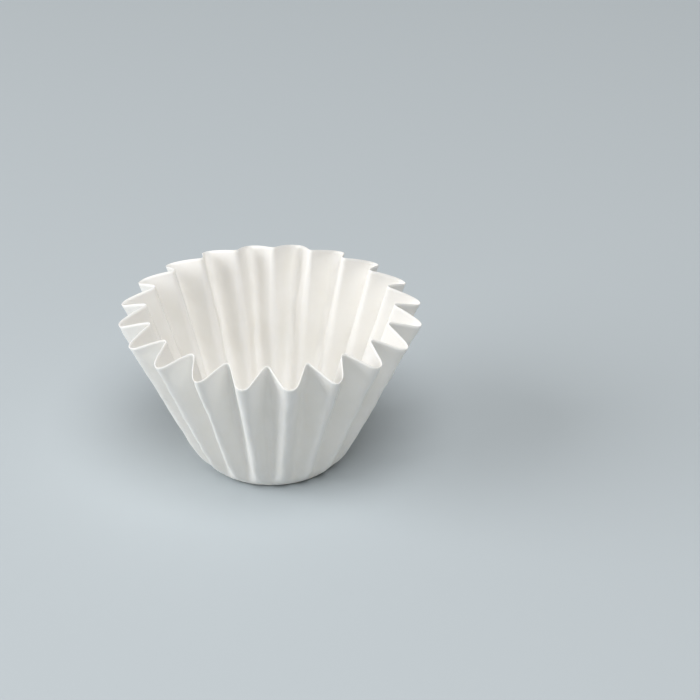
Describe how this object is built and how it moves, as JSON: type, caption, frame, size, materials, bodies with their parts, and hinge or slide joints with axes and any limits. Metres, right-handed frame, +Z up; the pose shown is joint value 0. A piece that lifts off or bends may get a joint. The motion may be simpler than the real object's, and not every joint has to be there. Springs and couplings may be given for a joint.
{
  "type": "paper coffee filter",
  "caption": "Flat-bottomed paper coffee filter: one sheet pressed into an open cup with a flaring, deeply fluted wall and a zigzag rim.",
  "frame": {"origin": "centre of the underside of the flat base", "axes": "+Z up along the cup's axis, towards the open mouth; +X through the middle of one ridge"},
  "size_m": [0.094, 0.094, 0.0529],
  "materials": {
    "filter_paper": "matte bleached filter paper"
  },
  "bodies": {
    "root": {"paper_filter": "filter_paper"}
  },
  "joints": []
}
